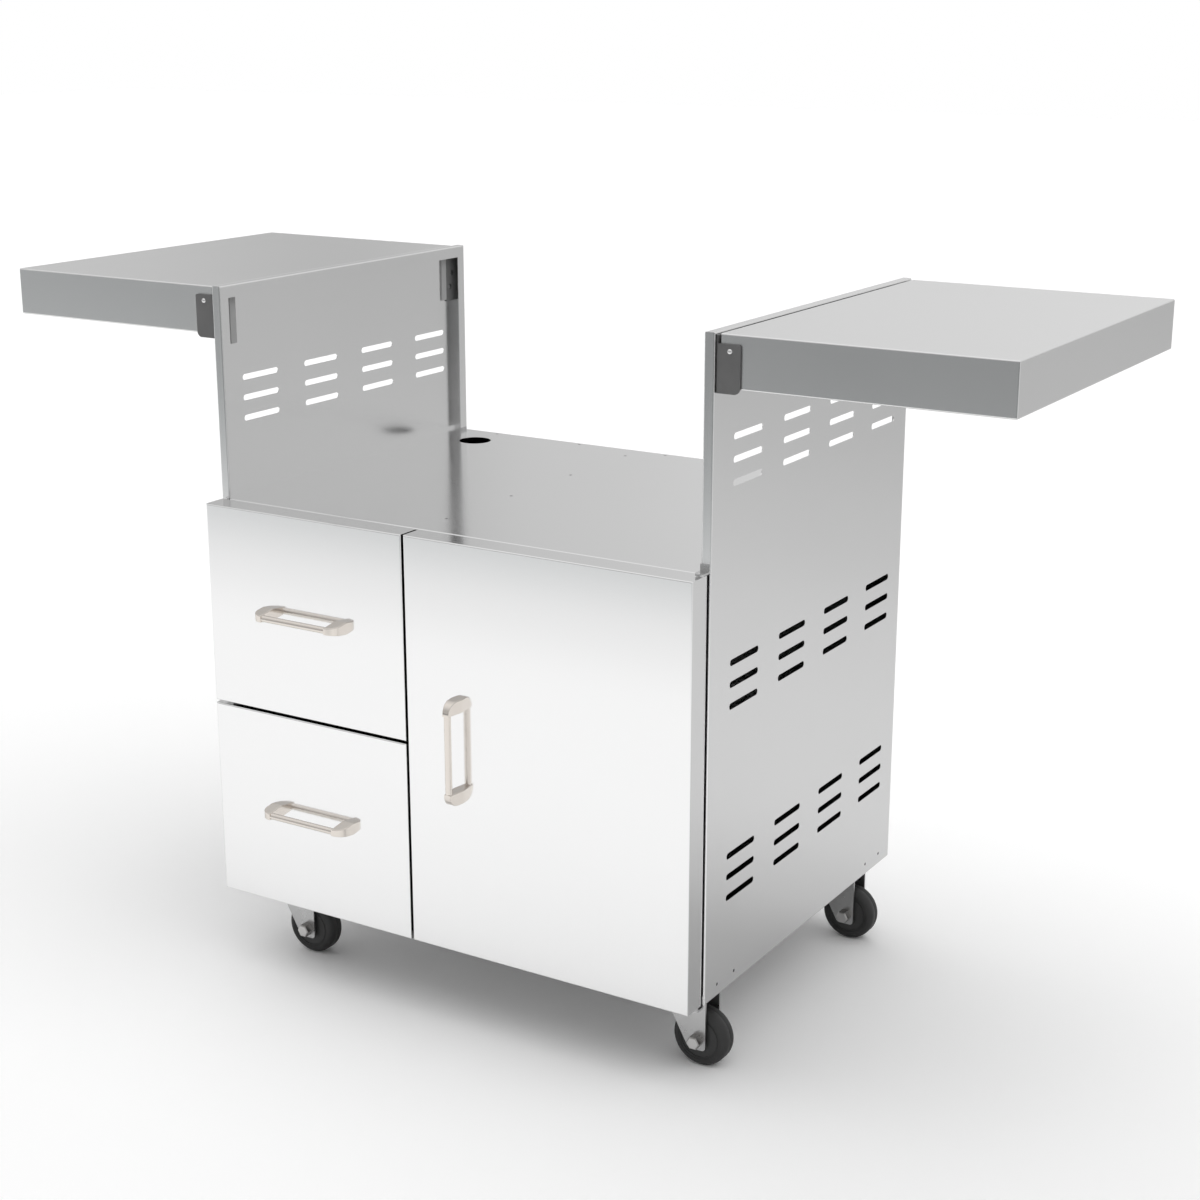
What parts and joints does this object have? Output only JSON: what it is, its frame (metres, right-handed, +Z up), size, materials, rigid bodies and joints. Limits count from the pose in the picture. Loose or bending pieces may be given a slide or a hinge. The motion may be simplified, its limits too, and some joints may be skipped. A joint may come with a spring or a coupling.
{
  "type": "grill cart",
  "caption": "Stainless grill cart on swivel casters, with louvred side panels round an open deck, stacked drawers, a hinged door and fold-down side shelves.",
  "frame": {"origin": "on the floor under the middle of the cart's bounding box", "axes": "+Z up, +X to the right across the front, front faces -Y"},
  "size_m": [1.416, 0.5946, 0.914],
  "materials": {
    "panel_steel": "satin stainless sheet",
    "deck_steel": "satin stainless sheet",
    "front_steel": "polished stainless sheet",
    "inner_steel": "plain steel sheet",
    "shelf_steel": "brushed stainless sheet",
    "handle_nickel": "warm satin nickel",
    "zinc_steel": "bright zinc plate",
    "fastener_steel": "bright steel",
    "axle_steel": "dull zinc plate",
    "strip_grey": "mid grey satin",
    "rivet_grey": "dull grey",
    "bracket_grey": "dark grey satin",
    "catch_black": "moulded black",
    "tyre_black": "smooth black rubber",
    "hub_grey": "moulded dark grey"
  },
  "bodies": {
    "cart": {"left_side_panel": "panel_steel", "right_side_panel": "panel_steel", "deck_panel": "deck_steel", "bottom_panel": "deck_steel", "back_panel": "deck_steel", "centre_divider": "deck_steel", "slide_posts": "zinc_steel", "slide_cabinet_rails": "zinc_steel", "cabinet_rivets": "rivet_grey", "shelf_brackets": "bracket_grey", "shelf_pivot_studs": "fastener_steel", "bracket_backing_strips": "strip_grey", "bracket_backing_plates": "bracket_grey", "shelf_lock_pins": "fastener_steel", "bracket_rivets": "fastener_steel", "caster_plates": "zinc_steel", "caster_kingpins": "zinc_steel", "caster_bolts": "fastener_steel", "door_hinge_brackets": "zinc_steel", "door_hinge_pins": "fastener_steel", "door_catch_magnet": "catch_black"},
    "door": {"door_front": "front_steel", "door_liner": "inner_steel", "door_handle": "handle_nickel", "door_handle_screws": "fastener_steel", "door_strike_plate": "zinc_steel"},
    "upper_drawer": {"upper_drawer_front": "front_steel", "upper_drawer_liner": "inner_steel", "upper_drawer_box": "inner_steel", "upper_drawer_handle": "handle_nickel", "upper_drawer_handle_screws": "fastener_steel", "upper_slide_drawer_rails": "zinc_steel"},
    "upper_slide_middle": {"upper_slide_middle_rails": "zinc_steel"},
    "lower_drawer": {"lower_drawer_front": "front_steel", "lower_drawer_liner": "inner_steel", "lower_drawer_box": "inner_steel", "lower_drawer_handle": "handle_nickel", "lower_drawer_handle_screws": "fastener_steel", "lower_slide_drawer_rails": "zinc_steel"},
    "lower_slide_middle": {"lower_slide_middle_rails": "zinc_steel"},
    "left_shelf": {"left_shelf_pan": "shelf_steel", "left_shelf_stiffener": "shelf_steel"},
    "right_shelf": {"right_shelf_pan": "shelf_steel", "right_shelf_stiffener": "shelf_steel"},
    "front_left_caster_swivel": {"front_left_caster_fork": "zinc_steel", "front_left_caster_axle": "axle_steel"},
    "front_left_caster_wheel": {"front_left_caster_tyre": "tyre_black", "front_left_caster_hub": "hub_grey"},
    "rear_left_caster_swivel": {"rear_left_caster_fork": "zinc_steel", "rear_left_caster_axle": "axle_steel"},
    "rear_left_caster_wheel": {"rear_left_caster_tyre": "tyre_black", "rear_left_caster_hub": "hub_grey"},
    "front_right_caster_swivel": {"front_right_caster_fork": "zinc_steel", "front_right_caster_axle": "axle_steel"},
    "front_right_caster_wheel": {"front_right_caster_tyre": "tyre_black", "front_right_caster_hub": "hub_grey"},
    "rear_right_caster_swivel": {"rear_right_caster_fork": "zinc_steel", "rear_right_caster_axle": "axle_steel"},
    "rear_right_caster_wheel": {"rear_right_caster_tyre": "tyre_black", "rear_right_caster_hub": "hub_grey"}
  },
  "joints": [
    {"name": "door_hinge", "type": "hinge", "parent": "cart", "child": "door", "pos_m": [0.3535, -0.24805, 0.373], "axis": [0, 0, 1], "range_deg": [0, 110]},
    {"name": "upper_drawer_slide", "type": "slide", "parent": "cart", "child": "upper_drawer", "axis": [0, -1, 0], "range_m": [0, 0.4]},
    {"name": "upper_slide_extend", "type": "slide", "parent": "cart", "child": "upper_slide_middle", "axis": [0, -1, 0], "range_m": [0, 0.2]},
    {"name": "lower_drawer_slide", "type": "slide", "parent": "cart", "child": "lower_drawer", "axis": [0, -1, 0], "range_m": [0, 0.4]},
    {"name": "lower_slide_extend", "type": "slide", "parent": "cart", "child": "lower_slide_middle", "axis": [0, -1, 0], "range_m": [0, 0.2]},
    {"name": "left_shelf_fold", "type": "hinge", "parent": "cart", "child": "left_shelf", "pos_m": [-0.3848, 0.03025, 0.872], "axis": [0, -1, 0], "range_deg": [0, 90]},
    {"name": "front_left_caster_turn", "type": "hinge", "parent": "cart", "child": "front_left_caster_swivel", "pos_m": [-0.3045, -0.18445, 0.099], "axis": [0, 0, 1], "continuous": true},
    {"name": "front_left_caster_roll", "type": "hinge", "parent": "front_left_caster_swivel", "child": "front_left_caster_wheel", "pos_m": [-0.2765, -0.18445, 0.0375], "axis": [0, 1, 0], "continuous": true},
    {"name": "rear_left_caster_turn", "type": "hinge", "parent": "cart", "child": "rear_left_caster_swivel", "pos_m": [-0.3045, 0.24085, 0.099], "axis": [0, 0, 1], "continuous": true},
    {"name": "rear_left_caster_roll", "type": "hinge", "parent": "rear_left_caster_swivel", "child": "rear_left_caster_wheel", "pos_m": [-0.2765, 0.24085, 0.0375], "axis": [0, 1, 0], "continuous": true},
    {"name": "right_shelf_fold", "type": "hinge", "parent": "cart", "child": "right_shelf", "pos_m": [0.3848, 0.03025, 0.872], "axis": [0, 1, 0], "range_deg": [0, 90]},
    {"name": "front_right_caster_turn", "type": "hinge", "parent": "cart", "child": "front_right_caster_swivel", "pos_m": [0.3045, -0.18445, 0.099], "axis": [0, 0, 1], "continuous": true},
    {"name": "front_right_caster_roll", "type": "hinge", "parent": "front_right_caster_swivel", "child": "front_right_caster_wheel", "pos_m": [0.3325, -0.18445, 0.0375], "axis": [0, 1, 0], "continuous": true},
    {"name": "rear_right_caster_turn", "type": "hinge", "parent": "cart", "child": "rear_right_caster_swivel", "pos_m": [0.3045, 0.24085, 0.099], "axis": [0, 0, 1], "continuous": true},
    {"name": "rear_right_caster_roll", "type": "hinge", "parent": "rear_right_caster_swivel", "child": "rear_right_caster_wheel", "pos_m": [0.3325, 0.24085, 0.0375], "axis": [0, 1, 0], "continuous": true}
  ],
  "couplings": [
    {"joint": "upper_slide_extend", "follows": "upper_drawer_slide", "ratio": 0.5},
    {"joint": "lower_slide_extend", "follows": "lower_drawer_slide", "ratio": 0.5}
  ]
}
